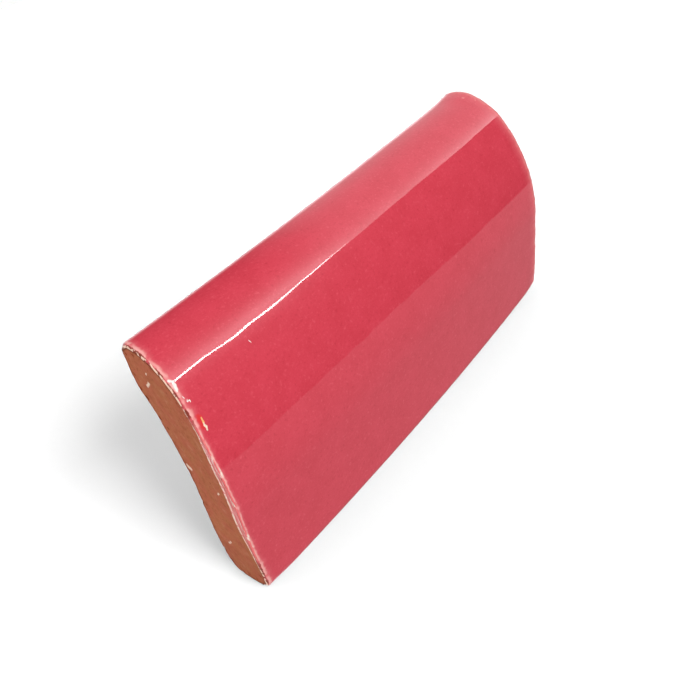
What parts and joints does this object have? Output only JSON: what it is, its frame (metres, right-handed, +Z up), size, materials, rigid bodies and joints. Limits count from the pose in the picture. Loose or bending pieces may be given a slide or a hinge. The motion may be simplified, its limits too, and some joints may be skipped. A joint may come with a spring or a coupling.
{
  "type": "trim tile",
  "caption": "Glazed terracotta trim tile: a sloping face rounds over a full shoulder into a bullnose top edge, with square ends and a shallow hollow back.",
  "frame": {"origin": "under the middle of the tile, on the level plane that its bottom edge stands on", "axes": "+X along the length, -Y out of the glazed face, +Z up from the bottom edge to the rounded top edge"},
  "size_m": [0.153, 0.0288, 0.076],
  "materials": {
    "glazed_terracotta": "glossy coral-red glaze on the face, bare red clay on the ends and the back"
  },
  "bodies": {
    "root": {"trim_tile": "glazed_terracotta"}
  },
  "joints": []
}
